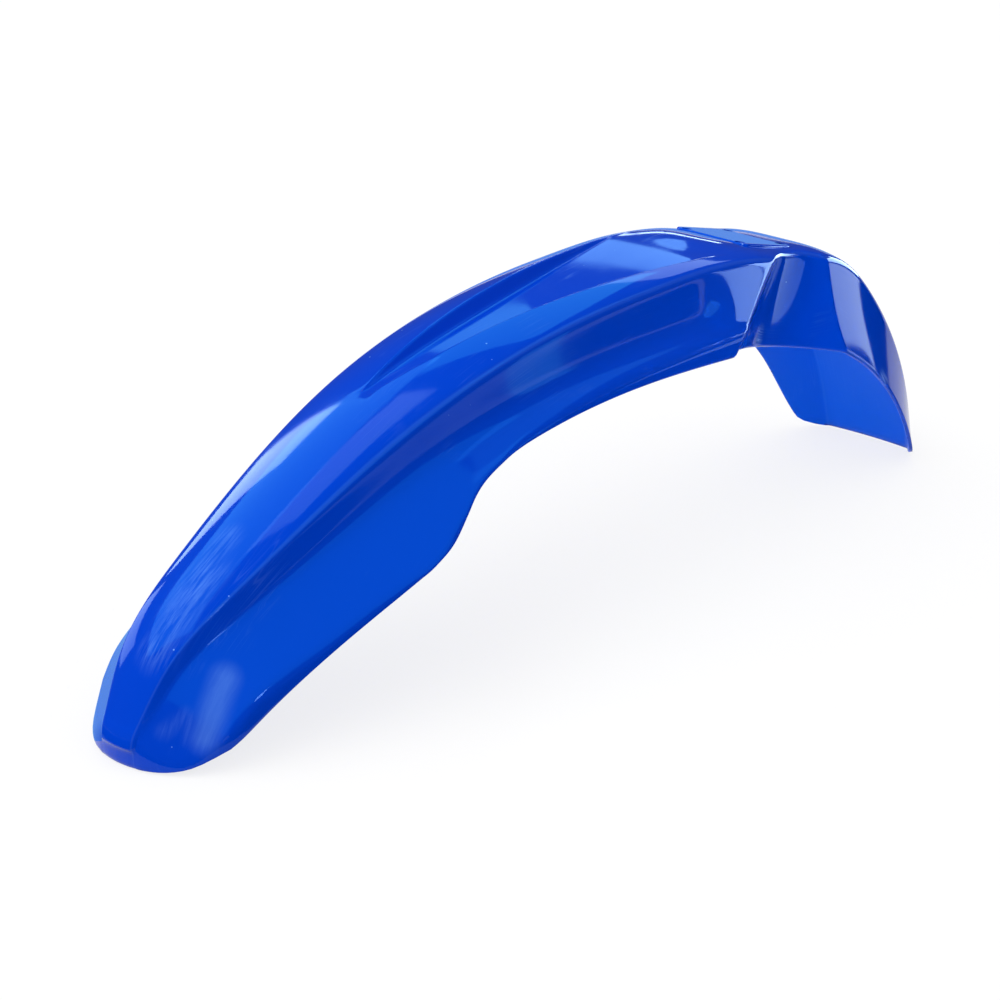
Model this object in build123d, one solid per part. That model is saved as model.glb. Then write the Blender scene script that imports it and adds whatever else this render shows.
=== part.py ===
"""Front mudguard of an off-road motorcycle: one moulded shell with even walls.

Millimetres. +X forward to the nose, +Y left, +Z up as the part rests on its
nose rim and tail end. Origin at the centre of the bolt pattern, on the top
face of the bolt pad.
"""
import math
import os

from build123d import *

# Wall of the moulding
WALL = 2.8

# Top line in the side view, measured from the bolt centre
CLAMP_TILT = 14.0            # degrees the bolt plateau slopes down to the rear
REST_DROP = 187.0            # bolt centre down to the floor
PLATEAU_FRONT = 44.0         # bolt centre forward to the end of the straight plateau
PLATEAU_REAR = 62.0          # bolt centre back to the other end
TAIL_REACH = 167.0           # bolt centre back to the tail's end
TAIL_LEAN = 8.0              # degrees the tail's end leans from upright
NOSE_REACH = 538.0           # bolt centre forward to the nose rim
NOSE_PITCH = 64.0            # degrees the panel dives at the nose
NOSE_BAND = 19.0             # nose rim up to the panel's front edge
CREST_REACH = 132.0          # bolt centre forward to the highest place
CREST_RISE = 16.5            # highest place above the bolt centre
VEE_REACH = 346.0            # bolt centre forward to the tip of the V trough
VEE_DROP = 22.0              # tip of the V trough below the bolt centre

# Raised middle panel and its flanks
PANEL_NOSE_WIDTH = 25.0
PANEL_WIDTH = 97.0           # between the creases at the clamp
PANEL_CROWN = 10.0           # rise of the panel's middle over its creases
CLAMP_CROWN = 5.0            # the same at the bolt plateau
CREASE_BEVEL = 3.0           # width of the bevel on each side of a crease
FLANK_HEIGHT = 33.0          # crease down to the foot of the flank
FLANK_STEP = 2.5             # what is left of it at the nose
FLANK_RUN = 6.0              # sideways run of the flank
FOOT_ROUND = 7.0             # hollow round at the foot of the flank
HOLLOW_CLOSE = 7.0           # how far the flank's foot swings out ahead of the fork pockets

# Skirts and side flanges
NOSE_ROUND = 59.0            # radius of the nose in the plan view
SKIRT_WIDTH = 161.0
SKIRT_REACH = 358.0          # bolt centre forward to the skirts' rear corners
SKIRT_FALL = 41.0            # degrees the skirts fall away sideways
SKIRT_NOSE_FALL = 35.0       # the same at the nose
SKIRT_CORNER = 16.0
WAIST_WIDTH = 130.0          # over the side flanges
WAIST_REACH = 298.0          # bolt centre forward to where the skirts have died out
WAIST_CORNER = 45.0
WAIST_RIM = 46.0             # bolt centre down to the lower edge of the side flanges

# V trough
VEE_REAR_WIDTH = 80.0
VEE_DEPTH = 16.0
VEE_WALL_LEAN = 40.0         # degrees its walls lean from upright

# Bolt pad
PAD_LENGTH = 52.0
PAD_WIDTH = 60.0
PAD_HEIGHT = 1.0
PAD_CORNER = 5.0
HOLE_SPACING = 44.0
HOLE_DIAMETER = 7.0

# Fork pockets, measured on the bolt plateau
POCKET_TOP_RADIUS = 51.0
POCKET_TOP_GAP = 78.0        # between the two pockets at the plateau
POCKET_TOP_SETBACK = 16.0    # pocket axis behind the bolt centre at the plateau
POCKET_FOOT_RADIUS = 115.0
POCKET_FOOT_GAP = 74.0
POCKET_FOOT_SETBACK = 14.0
POCKET_DEPTH = 66.0          # plateau down to where the foot values hold
POCKET_RIM_REACH = 70.0      # bolt centre forward to the pocket's front lower corner
POCKET_RIM_DROP = 51.0       # bolt centre down to that corner

# Tail
TAIL_BACK_WIDTH = 72.0       # flat back at the tail's end
TAIL_SIDE_LEAN = 42.0        # degrees the side walls lean out at the tail's end
TAIL_RIM_REACH = 56.0        # bolt centre back to the front corner of the tail's side walls
TAIL_RIM_DROP = 83.0         # bolt centre down to that corner

# Reach of the cutting tools
CLEAR = 300.0
DEPTH = 100.0                # depth of the sections below the top line


def turned(degrees):
    """Direction in the side view, degrees above forward."""
    return (math.cos(math.radians(degrees)), 0, math.sin(math.radians(degrees)))


def ease(share):
    """Smooth step from 0 to 1."""
    share = min(max(share, 0), 1)
    return share * share * (3 - 2 * share)


# Top line in the side view
crown_at_clamp = Vector(0, 0, -PAD_HEIGHT)
uphill = Vector(*turned(CLAMP_TILT))
front_line = Spline(
    crown_at_clamp,
    crown_at_clamp + uphill * PLATEAU_FRONT,
    (CREST_REACH, 0, CREST_RISE),
    (VEE_REACH, 0, -VEE_DROP),
    (NOSE_REACH - 70, 0, -REST_DROP + NOSE_BAND + 80),
    (NOSE_REACH - 20, 0, -REST_DROP + NOSE_BAND + 39),
    (NOSE_REACH, 0, -REST_DROP + NOSE_BAND),
    tangents=[turned(CLAMP_TILT), turned(-NOSE_PITCH)],
)
tail_line = Spline(
    crown_at_clamp,
    crown_at_clamp - uphill * PLATEAU_REAR,
    (-TAIL_REACH + 67, 0, -REST_DROP + 139),
    (-TAIL_REACH + 39, 0, -REST_DROP + 104),
    (-TAIL_REACH + 14, 0, -REST_DROP + 57),
    (-TAIL_REACH, 0, -REST_DROP),
    tangents=[turned(180 + CLAMP_TILT), turned(270 - TAIL_LEAN)],
)
vee_tip_share = front_line.param_at_point((VEE_REACH, 0, -VEE_DROP))
vee_rear_share = 0.075


def inset(points, amount):
    """Chain of points moved inwards by the amount, square to its legs."""
    moved = []
    for i, here in enumerate(points):
        legs = []
        if i > 0:
            legs.append((here - points[i - 1]).normalized())
        if i < len(points) - 1:
            legs.append((points[i + 1] - here).normalized())
        normals = [Vector(leg.Y, -leg.X) for leg in legs]
        mean = sum(normals, Vector()).normalized()
        moved.append(here + mean * (amount / mean.dot(normals[0])))
    return moved


def section(plane, crease, foot, end, wall):
    """Closed cross-section: crowned panel, bevelled creases, flanks, skirts, flat base."""
    chain = [Vector(0, 0), Vector(*crease), Vector(*foot), Vector(*end)]
    apex, crease, foot, end = inset(chain, wall)
    apex = Vector(0, -wall)
    to_apex = (apex - crease).normalized()
    to_foot = (foot - crease).normalized()
    to_end = (end - foot).normalized()
    panel_end = crease + to_apex * CREASE_BEVEL
    flank_top = crease + to_foot * CREASE_BEVEL
    flank_end = foot - to_foot * min(FOOT_ROUND, (foot - crease).length - CREASE_BEVEL - 0.2)
    skirt_top = foot + to_end * FOOT_ROUND
    base = Vector(end.X, -DEPTH)
    right = [
        Line(panel_end, flank_top),
        Line(flank_top, flank_end),
        Bezier(flank_end, foot, skirt_top),
        Line(skirt_top, end),
        Line(end, base),
    ]
    left = [mirror(line, Plane.YZ) for line in right]
    panel = ThreePointArc(Vector(-panel_end.X, panel_end.Y), apex, panel_end)
    floor = Line(base, Vector(-base.X, base.Y))
    return plane * make_face([panel, *right, floor, *left])


def across_front(share, beyond=0):
    """Plane square to the front part of the top line, looking forward."""
    heading = front_line % share
    return Plane(front_line @ share + heading * beyond, x_dir=(0, 1, 0), z_dir=heading)


def across_tail(share, beyond=0):
    """Plane across the tail, looking forward, turning evenly from the plateau to the end."""
    heading = Vector(*turned(CLAMP_TILT + (90 - TAIL_LEAN - CLAMP_TILT) * share))
    return Plane(tail_line @ share - heading * beyond, x_dir=(0, 1, 0), z_dir=heading)


def panel_half(share):
    """Half width of the panel along the front part of the top line."""
    return PANEL_WIDTH / 2 - (PANEL_WIDTH - PANEL_NOSE_WIDTH) / 2 * share**2.85


def panel_crown(share):
    """Rise of the panel's middle over its creases."""
    return (CLAMP_CROWN + (PANEL_CROWN - CLAMP_CROWN) * ease(share / 0.25)) * (1 - 0.95 * share**4)


def front_section(share, wall, beyond=0):
    """Section ahead of the bolts: panel, flank and skirt."""
    half = panel_half(share)
    crown = panel_crown(share)
    height = FLANK_STEP + (FLANK_HEIGHT - FLANK_STEP) * (1 - share**2.4)
    slope = math.tan(math.radians(SKIRT_FALL + (SKIRT_NOSE_FALL - SKIRT_FALL) * ease((share - 0.8) / 0.2)))
    closing = HOLLOW_CLOSE * ease((0.17 - share) / 0.06)
    foot = (half + FLANK_RUN + closing, -crown - height - slope * closing)
    outer = SKIRT_WIDTH / 2 + 8
    end = (outer, foot[1] - slope * (outer - foot[0]))
    return section(across_front(share, beyond), (half, -crown), foot, end, wall)


def tail_section(share, wall, beyond=0):
    """Section behind the bolts: flat back with side walls."""
    half = PANEL_WIDTH / 2 + (TAIL_BACK_WIDTH - PANEL_WIDTH) / 2 * share
    crown = CLAMP_CROWN * (1 - 0.6 * share)
    lean = math.tan(math.radians(TAIL_SIDE_LEAN * share**1.5))
    foot = (half + 24 * lean + 1, -crown - 24)
    end = (half + 72 * lean + 3, -crown - 72)
    return section(across_tail(share, beyond), (half, -crown), foot, end, wall)


def body(wall):
    """Solid under the top surface, moved inwards by the wall."""
    sections = [front_section(1, wall, 30)]
    sections += [front_section(share, wall) for share in (1, 0.9, 0.8, 0.7, 0.6, 0.5, 0.4, 0.25, 0.17, 0.11, 0.05)]
    sections += [tail_section(share, wall) for share in (0, 0.12, 0.24, 0.34, 0.5, 0.75, 1)]
    sections += [tail_section(1, wall, 30)]
    return loft(sections)


def vee_cutter(wall):
    """Tool for the V trough, let out by the wall."""
    lean = math.tan(math.radians(VEE_WALL_LEAN))
    side = wall / math.cos(math.radians(VEE_WALL_LEAN))
    sections = []
    for share in (0.01, 0.1, 0.2, 0.35, 0.5, 0.65, 0.8, 0.9, 0.98):
        along = vee_tip_share + (vee_rear_share - vee_tip_share) * share
        ridge = VEE_REAR_WIDTH / 2 * share**0.7
        sag = panel_crown(along) * (ridge / panel_half(along)) ** 2
        depth = max(VEE_DEPTH * 4 * share * (1 - share), sag + 0.3)
        floor = ridge - (depth - sag) * lean + side - wall * lean
        top = ridge + (sag + 12) * lean + side
        sketch = Polygon((-top, 12), (-floor, -depth - wall), (floor, -depth - wall), (top, 12), align=None)
        sections.append(across_front(along) * sketch)
    return loft(sections)


# Bolt plateau: x forward up the slope, y left, z square to the pad
clamp_plane = Plane((0, 0, 0), x_dir=turned(CLAMP_TILT), z_dir=turned(90 + CLAMP_TILT))


def pocket_cutter(wall):
    """Tool for the fork pocket on the left, let out by the wall."""
    sections = []
    for drop in (-15, 125):
        share = drop / POCKET_DEPTH
        radius = POCKET_TOP_RADIUS + (POCKET_FOOT_RADIUS - POCKET_TOP_RADIUS) * share
        gap = POCKET_TOP_GAP + (POCKET_FOOT_GAP - POCKET_TOP_GAP) * share
        setback = POCKET_TOP_SETBACK + (POCKET_FOOT_SETBACK - POCKET_TOP_SETBACK) * share
        level = clamp_plane.offset(-drop)
        sections.append(level * Pos(-setback, gap / 2 + radius) * Circle(radius + wall))
    return loft(sections, ruled=True)


# Outline in the plan view
nose_start = Vector(NOSE_REACH, 0)
skirt_corner = Vector(SKIRT_REACH, SKIRT_WIDTH / 2)
waist_corner = Vector(WAIST_REACH, WAIST_WIDTH / 2)
nose_centre = Vector(NOSE_REACH - NOSE_ROUND, 0)
to_corner = skirt_corner - nose_centre
swing = math.atan2(to_corner.Y, to_corner.X) - math.acos(NOSE_ROUND / to_corner.length)
nose_end = nose_centre + Vector(math.cos(swing), math.sin(swing)) * NOSE_ROUND
nose_middle = nose_centre + Vector(math.cos(swing / 2), math.sin(swing / 2)) * NOSE_ROUND
rear = -TAIL_REACH - 60
half_plan = make_face([
    ThreePointArc(nose_start, nose_middle, nose_end),
    Polyline(nose_end, skirt_corner, waist_corner, (rear, WAIST_WIDTH / 2), (rear, 0), nose_start),
])
half_plan = fillet(half_plan.vertices().sort_by_distance(skirt_corner)[0], SKIRT_CORNER)
half_plan = fillet(half_plan.vertices().sort_by_distance(waist_corner)[0], WAIST_CORNER)
plan = half_plan + mirror(half_plan, Plane.XZ)
bottom = Pos(0, 0, -REST_DROP - 50)
prism = extrude(bottom * plan, CLEAR)
inner_prism = extrude(bottom * offset(plan, -WALL), CLEAR)

# Lower edge in the side view
waist_rim = ThreePointArc(
    (WAIST_REACH, 0, -WAIST_RIM - 12),
    ((WAIST_REACH + POCKET_RIM_REACH) / 2, 0, -WAIST_RIM),
    (POCKET_RIM_REACH, 0, -POCKET_RIM_DROP),
)
nose_rim = Spline(
    (NOSE_REACH, 0, -REST_DROP),
    (NOSE_REACH - 28, 0, -REST_DROP + 9),
    (NOSE_REACH - 60, 0, -REST_DROP + 29),
    (NOSE_REACH - 126, 0, -REST_DROP + 65),
    (SKIRT_REACH, 0, -WAIST_RIM - 50),
    tangents=[turned(176), turned(152)],
)
step_rim = Spline(nose_rim @ 1, (SKIRT_REACH - 28, 0, -WAIST_RIM - 32), waist_rim @ 0)
pocket_rim = Line(waist_rim @ 1, (-TAIL_RIM_REACH, 0, -TAIL_RIM_DROP))
tail_rim = Spline(
    pocket_rim @ 1,
    (-TAIL_RIM_REACH - 53, 0, -TAIL_RIM_DROP - 42),
    (-TAIL_REACH + 16, 0, -REST_DROP),
    tangents=[turned(180 + 2 * CLAMP_TILT), turned(236)],
)
under = Polyline(
    tail_rim @ 1,
    (rear, 0, -REST_DROP),
    (rear, 0, -REST_DROP - CLEAR),
    (NOSE_REACH + 60, 0, -REST_DROP - CLEAR),
    (NOSE_REACH + 60, 0, -REST_DROP),
    nose_rim @ 0,
)
below = extrude(make_face([nose_rim, step_rim, waist_rim, pocket_rim, tail_rim, under]), CLEAR, dir=(0, 1, 0), both=True)

# Shell: outside form less the same form moved inwards by the wall
pocket = pocket_cutter(0)
inner_pocket = pocket_cutter(WALL)
outside = body(0) & prism
outside -= vee_cutter(0)
outside -= pocket
outside -= mirror(pocket, Plane.XZ)
inside = body(WALL) & inner_prism
inside -= vee_cutter(WALL)
inside -= inner_pocket
inside -= mirror(inner_pocket, Plane.XZ)
shell = outside - inside - below

# Bolt pad and its four holes
pad_sketch = RectangleRounded(PAD_LENGTH, PAD_WIDTH, PAD_CORNER)
shell += extrude(clamp_plane * pad_sketch, -PAD_HEIGHT - WALL)
for place in GridLocations(HOLE_SPACING, HOLE_SPACING, 2, 2):
    shell -= clamp_plane * place * Cylinder(HOLE_DIAMETER / 2, 40)

os.makedirs("parts", exist_ok=True)
mudguard_shell = shell.solid()
mudguard_shell.label = "mudguard_shell"
export_step(mudguard_shell, "parts/mudguard_shell.step")
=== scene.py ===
import math

import bmesh
import bpy
import numpy as np
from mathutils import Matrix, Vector


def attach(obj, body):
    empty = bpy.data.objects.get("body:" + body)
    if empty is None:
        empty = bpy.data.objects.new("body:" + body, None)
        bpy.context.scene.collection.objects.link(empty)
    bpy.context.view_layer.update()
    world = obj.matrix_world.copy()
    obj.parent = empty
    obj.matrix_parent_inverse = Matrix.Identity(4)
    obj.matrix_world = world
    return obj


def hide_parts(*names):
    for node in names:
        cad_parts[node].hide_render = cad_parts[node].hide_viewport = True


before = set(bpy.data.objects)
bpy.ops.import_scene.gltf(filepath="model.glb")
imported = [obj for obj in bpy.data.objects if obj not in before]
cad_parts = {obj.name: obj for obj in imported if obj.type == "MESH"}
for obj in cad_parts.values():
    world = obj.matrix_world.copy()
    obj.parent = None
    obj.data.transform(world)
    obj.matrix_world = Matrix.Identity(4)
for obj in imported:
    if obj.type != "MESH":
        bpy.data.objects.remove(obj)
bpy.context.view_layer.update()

# Sizes of the moulding in millimetres, in the frame of the bolt pattern
MM = 0.001
WALL = 2.8
FLOOR_DROP = 187.0
CLAMP_TILT = 14.0
PAD_HEIGHT = 1.0
NOSE_REACH = 538.0
NOSE_BAND = 19.0
NOSE_HEADING = -64.0
TAIL_REACH = 167.0
TAIL_LEAN = 8.0
PANEL_WIDTH = 97.0
PANEL_NOSE_WIDTH = 25.0
PANEL_TAPER = 2.85
PANEL_CROWN = 10.0
CLAMP_CROWN = 5.0
CROWN_RISE_SHARE = 0.25
CROWN_NOSE_LOSS = 0.95
FLANK_HEIGHT = 33.0
FLANK_STEP = 2.5
FLANK_TAPER = 2.4
FLANK_RUN = 6.0
NOSE_FLANK_RUN = 3.4
HOLLOW_CLOSE = 7.0
SKIRT_WIDTH = 161.0
SKIRT_REACH = 358.0
SKIRT_FALL = 41.0
SKIRT_NOSE_FALL = 35.0
SKIRT_OVERRUN = 8.0
NOSE_ROUND = 59.0
WAIST_WIDTH = 130.0
WAIST_REACH = 298.0
WAIST_RIM = 46.0
LEAST_FLANGE = 1.5
LEAST_BAND = 2.0
VEE_REACH = 346.0
VEE_TIP_HEIGHT = -22.0
VEE_REAR_SHARE = 0.075
VEE_REAR_WIDTH = 80.0
VEE_TAPER = 0.7
VEE_DEPTH = 11.5
VEE_LEAST_DEPTH = 0.3
VEE_WALL_LEAN = math.tan(math.radians(30.0))
POCKET_DEPTH = 66.0
POCKET_RADIUS = (51.0, 115.0)
POCKET_GAP = (78.0, 74.0)
POCKET_SETBACK = (16.0, 14.0)
POCKET_EDGE_FROM = 20.0
POCKET_EDGE_PAST = 2.0
POCKET_FOOT_DROP = (10.0, 140.0)
TAIL_BACK_WIDTH = 72.0
TAIL_SIDE_LEAN = 42.0
TAIL_SIDE_TAPER = 1.5
TAIL_SIDE_REACH = 72.0
TAIL_SIDE_OVERRUN = 3.0
TAIL_CROWN_LOSS = 0.6
PAD_LENGTH = 52.0
PAD_WIDTH = 60.0
PAD_PLATE = 3.8
PAD_CORNER = 5.0
PAD_EDGE = 1.2
HOLE_SPACING = 44.0
HOLE_RADIUS = 3.5
DRILL_LENGTH = 40.0

# Bends of the top line: straight run ahead of and behind the bolts, then points
CLAMP_RUN = (44.0, 62.0)
TOP_PEAK = (132.0, 16.5)
# Back from the nose and up from its end
NOSE_BENDS = ((70.0, 80.0), (20.0, 39.0))
# Ahead of the end of the tail and up from the floor
TAIL_BENDS = ((67.0, 139.0), (39.0, 104.0), (14.0, 57.0))

# Bends of the outline and of the lower edge
OUTLINE_REAR = -300.0
SKIRT_CORNER_CUT = 5.0
WAIST_CORNER_CUT = 26.0
# Back from the nose and up from the floor
NOSE_RIM_BENDS = ((28.0, 9.0), (60.0, 29.0), (126.0, 65.0))
NOSE_RIM_HEADING = 176.0
# Back from the skirt's corner or the waist, and down from the edge at the waist
SKIRT_RIM_DROP = 50.0
SKIRT_RIM_HEADING = 152.0
SKIRT_RIM_BENDS = ((12.0, 45.0), (27.0, 33.0))
WAIST_RIM_BENDS = ((-16.0, 21.3), (8.0, 12.0), (46.0, 4.8))
POCKET_RIM = ((70.0, -51.0), (-56.0, -83.0))
TAIL_RIM_BEND = (-109.0, -125.0)
TAIL_RIM_SETBACK = 16.0
TAIL_RIM_HEADING = 236.0

# Rounding of the edges
CREASE_ROUND = 3.6
NOSE_CREASE_ROUND = 1.4
FOOT_ROUND = 7.0
NOSE_FOOT_ROUND = 1.6
LIP_ROUND = 5.0
NOSE_LIP_ROUND = 6.0
LIP_BAND_SHARE = 0.6
FLANK_ROUND_SHARE = 0.42
SKIRT_ROUND_SHARE = 0.45
PANEL_END_HEIGHT = 12.0
PANEL_END_STEP = 1.8
PANEL_END_LEAN = 0.6
PANEL_END_RISE = 0.9
PANEL_END_FALL = 0.7
RIDGE_ROUND = 1.6
RIDGE_ROUND_SHARE = 0.5
FLOOR_ROUND = 2.6
FLOOR_ROUND_SHARE = 0.8

# Stretches over which a size changes, as start and length in shares of the top line or of the V trough
NOSE_CHANGE = (0.6, 0.32)
SKIRT_FALL_CHANGE = (0.8, 0.2)
LIP_CHANGE = (0.74, 0.2)
HOLLOW_CHANGE = (0.17, -0.06)
FRONT_FLAT_CHANGE = (0.1, -0.06)
TAIL_FLAT_CHANGE = (0.35, -0.2)
VEE_REAR_CHANGE = (1.0, -0.12)
VEE_TIP_CHANGE = (0.0, 0.03)
NOSE_CORNER = 0.94
NOSE_SPLIT = 0.8
WAIST_SPLIT = 0.3

# Rows of the mesh from the middle to the rim
TOP_ROWS = 21
CREASE_ROWS = 5
FLANK_ROWS = 3
FOOT_ROWS = 5
SKIRT_ROWS = 5
LIP_ROWS = 4
FLANGE_ROWS = 3
BAND_ROWS = LIP_ROWS + FLANGE_ROWS
STEEP_ROWS = 3
WORN_ROWS = (TOP_ROWS + 2, TOP_ROWS + 3)
WALL_ROW = TOP_ROWS + CREASE_ROWS
FLANK_END_ROW = WALL_ROW + FLANK_ROWS
LIP_ROW = FLANK_END_ROW + FOOT_ROWS + SKIRT_ROWS
LAST_ROW = LIP_ROW + BAND_ROWS
ROW_COUNT = LAST_ROW + 1
ROW_CROWDING = 4.0
ROW_CROWD_REACH = 3.0

# Stations of the mesh from the nose to the tail, crowded at the edges
FRONT_SAMPLES = 700
TAIL_SAMPLES = 300
SAMPLES_PAST_NOSE = 15
NOSE_STATIONS = (0, 2, 4, 6, 9, 13)
NEAR_PLACES = np.linspace(0.86, 0, 15)
BACK_SHARES = np.linspace(NOSE_SPLIT, WAIST_SPLIT, 42)[1:]
REAR_PLACES = np.concatenate((np.linspace(0, 0.93, 20)[1:], [0.955, 0.976, 1.0]))
EDGE_PLACES = (0.25, 0.5, 0.75)
POCKET_STEPS = 16
POCKET_END_STEP = 0.03
TAIL_PLACES = np.concatenate(([0, 0.008, 0.02, 0.05], np.linspace(0.1, 1, 19)))


def turned(degrees):
    """Direction in the side view, degrees above forward, as x and z."""
    return np.array((math.cos(math.radians(degrees)), math.sin(math.radians(degrees))))


def ease(share):
    """Smooth step from 0 to 1."""
    share = min(max(share, 0.0), 1.0)
    return share * share * (3 - 2 * share)


def changed(share, stretch):
    """0 before a stretch and 1 after it, or the other way round for a length below zero."""
    return ease((share - stretch[0]) / stretch[1])


def smooth_line(points, start=None, end=None, count=1500):
    """Points along a smooth curve through a few given ones."""
    p = np.array(points, float)
    h = np.linalg.norm(np.diff(p, axis=0), axis=1)
    n = len(p)
    left = np.zeros((n, n))
    right = np.zeros_like(p)
    for i in range(1, n - 1):
        left[i, i - 1] = 1 / h[i - 1]
        left[i, i] = 2 / h[i - 1] + 2 / h[i]
        left[i, i + 1] = 1 / h[i]
        right[i] = 3 * ((p[i] - p[i - 1]) / h[i - 1] ** 2 + (p[i + 1] - p[i]) / h[i] ** 2)
    left[0, 0] = 1 if start is not None else 2
    left[-1, -1] = 1 if end is not None else 2
    if start is not None:
        right[0] = start
    else:
        left[0, 1] = 1
        right[0] = 3 * (p[1] - p[0]) / h[0]
    if end is not None:
        right[-1] = end
    else:
        left[-1, -2] = 1
        right[-1] = 3 * (p[-1] - p[-2]) / h[-1]
    slope = np.linalg.solve(left, right)
    knots = np.concatenate(([0], np.cumsum(h)))
    t = np.linspace(0, knots[-1], count)
    i = np.clip(np.searchsorted(knots, t, side="right") - 1, 0, n - 2)
    u = ((t - knots[i]) / h[i])[:, None]
    w = h[i][:, None]
    return (p[i] * (1 - u) ** 2 * (1 + 2 * u) + p[i + 1] * u**2 * (3 - 2 * u)
            + slope[i] * w * u * (1 - u) ** 2 - slope[i + 1] * w * u**2 * (1 - u))


class SideLine:
    """Curve in the side view, read by its share of the length."""

    def __init__(self, points):
        self.points = points
        step = np.linalg.norm(np.diff(points, axis=0), axis=1)
        self.length = step.sum()
        self.share = np.concatenate(([0], np.cumsum(step))) / self.length
        run = np.gradient(points, axis=0)
        self.run = run / np.linalg.norm(run, axis=1)[:, None]

    def at(self, share):
        return np.array([np.interp(share, self.share, self.points[:, k]) for k in (0, 1)])

    def heading(self, share):
        d = np.array([np.interp(share, self.share, self.run[:, k]) for k in (0, 1)])
        return d / np.linalg.norm(d)


uphill = turned(CLAMP_TILT)
clamp_top = np.array((0.0, -PAD_HEIGHT))
nose_top = -FLOOR_DROP + NOSE_BAND
front_line = SideLine(smooth_line(
    [clamp_top, clamp_top + uphill * CLAMP_RUN[0], TOP_PEAK, (VEE_REACH, VEE_TIP_HEIGHT)]
    + [(NOSE_REACH - back, nose_top + rise) for back, rise in NOSE_BENDS]
    + [(NOSE_REACH, nose_top)],
    uphill, turned(NOSE_HEADING)))
tail_line = SideLine(smooth_line(
    [clamp_top, clamp_top - uphill * CLAMP_RUN[1]]
    + [(-TAIL_REACH + ahead, -FLOOR_DROP + rise) for ahead, rise in TAIL_BENDS]
    + [(-TAIL_REACH, -FLOOR_DROP)],
    -uphill, turned(270 - TAIL_LEAN)))
vee_tip_share = float(np.interp(VEE_REACH, front_line.points[:, 0], front_line.share))


def plan_outline():
    """Half width over the length in the plan view, as x and y from the rear to the nose."""
    centre = np.array((NOSE_REACH - NOSE_ROUND, 0.0))
    corner = np.array((SKIRT_REACH, SKIRT_WIDTH / 2))
    waist = np.array((WAIST_REACH, WAIST_WIDTH / 2))
    rear = np.array((OUTLINE_REAR, WAIST_WIDTH / 2))
    to_corner = corner - centre
    swing = math.atan2(to_corner[1], to_corner[0]) - math.acos(NOSE_ROUND / np.linalg.norm(to_corner))
    angles = np.linspace(0, swing, 120)
    nose = centre + NOSE_ROUND * np.stack((np.cos(angles), np.sin(angles)), -1)
    points = [nose]
    corners = ((nose[-1], corner, waist, SKIRT_CORNER_CUT), (corner, waist, rear, WAIST_CORNER_CUT))
    for before, here, after, cut in corners:
        a = here + (before - here) / np.linalg.norm(before - here) * cut
        b = here + (after - here) / np.linalg.norm(after - here) * cut
        t = np.linspace(0, 1, 40)[:, None]
        points.append((1 - t) ** 2 * a + 2 * t * (1 - t) * here + t * t * b)
    points.append(rear[None])
    return np.concatenate(points)[::-1]


outline = plan_outline()


def half_width(x):
    return np.interp(x, outline[:, 0], outline[:, 1])


def rim_line():
    """Height of the lower edge over the length, as x and z from the tail to the nose."""
    nose = smooth_line(
        [(NOSE_REACH, -FLOOR_DROP)]
        + [(NOSE_REACH - back, -FLOOR_DROP + rise) for back, rise in NOSE_RIM_BENDS]
        + [(SKIRT_REACH, -WAIST_RIM - SKIRT_RIM_DROP)],
        turned(NOSE_RIM_HEADING), turned(SKIRT_RIM_HEADING))
    waist = smooth_line(
        [nose[-1]]
        + [(SKIRT_REACH - back, -WAIST_RIM - drop) for back, drop in SKIRT_RIM_BENDS]
        + [(WAIST_REACH - back, -WAIST_RIM - drop) for back, drop in WAIST_RIM_BENDS]
        + [((WAIST_REACH + POCKET_RIM[0][0]) / 2, -WAIST_RIM), POCKET_RIM[0]],
        turned(SKIRT_RIM_HEADING))
    pocket = np.array(POCKET_RIM)
    tail = smooth_line([POCKET_RIM[1], TAIL_RIM_BEND, (-TAIL_REACH + TAIL_RIM_SETBACK, -FLOOR_DROP)],
                       turned(180 + 2 * CLAMP_TILT), turned(TAIL_RIM_HEADING))
    return np.concatenate((nose, waist[1:], pocket[1:], tail[1:]))[::-1]


rim = rim_line()


def rim_height(x):
    return np.interp(x, rim[:, 0], rim[:, 1])


def pocket_shape(drop):
    """Radius, middle and setback of the fork pocket at a depth below the plateau."""
    share = drop / POCKET_DEPTH
    radius = POCKET_RADIUS[0] + (POCKET_RADIUS[1] - POCKET_RADIUS[0]) * share
    gap = POCKET_GAP[0] + (POCKET_GAP[1] - POCKET_GAP[0]) * share
    setback = POCKET_SETBACK[0] + (POCKET_SETBACK[1] - POCKET_SETBACK[0]) * share
    return radius, gap / 2 + radius, setback


def on_plateau(p):
    """Point as along, across and drop on the bolt plateau."""
    along = p[..., 0] * uphill[0] + p[..., 2] * uphill[1]
    drop = p[..., 0] * uphill[1] - p[..., 2] * uphill[0]
    return along, p[..., 1], drop


def from_plateau(along, across, drop):
    x = along * uphill[0] + drop * uphill[1]
    z = along * uphill[1] - drop * uphill[0]
    return np.stack((x, across, z), -1)


def outside_pocket(p):
    """Distance out of the pocket, below zero inside it."""
    along, across, drop = on_plateau(p)
    radius, middle, setback = pocket_shape(drop)
    return np.hypot(along + setback, across - middle) - radius


def pocket_angle(p):
    """Angle round the pocket's middle and drop of a point."""
    along, across, drop = on_plateau(p)
    radius, middle, setback = pocket_shape(drop)
    return np.arctan2(along + setback, middle - across), drop


def on_pocket(angle, drop):
    radius, middle, setback = pocket_shape(drop)
    return from_plateau(-setback + radius * np.sin(angle), middle - radius * np.cos(angle), drop)


def bend(a, corner, b, steps):
    """Points of a rounded corner after the first."""
    t = (np.arange(1, steps + 1) / steps)[:, None]
    return (1 - t) ** 2 * a + 2 * t * (1 - t) * corner + t * t * b


def straight(a, b, steps):
    """Points of a straight line after the first."""
    t = (np.arange(1, steps + 1) / steps)[:, None]
    return a + (b - a) * t


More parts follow.
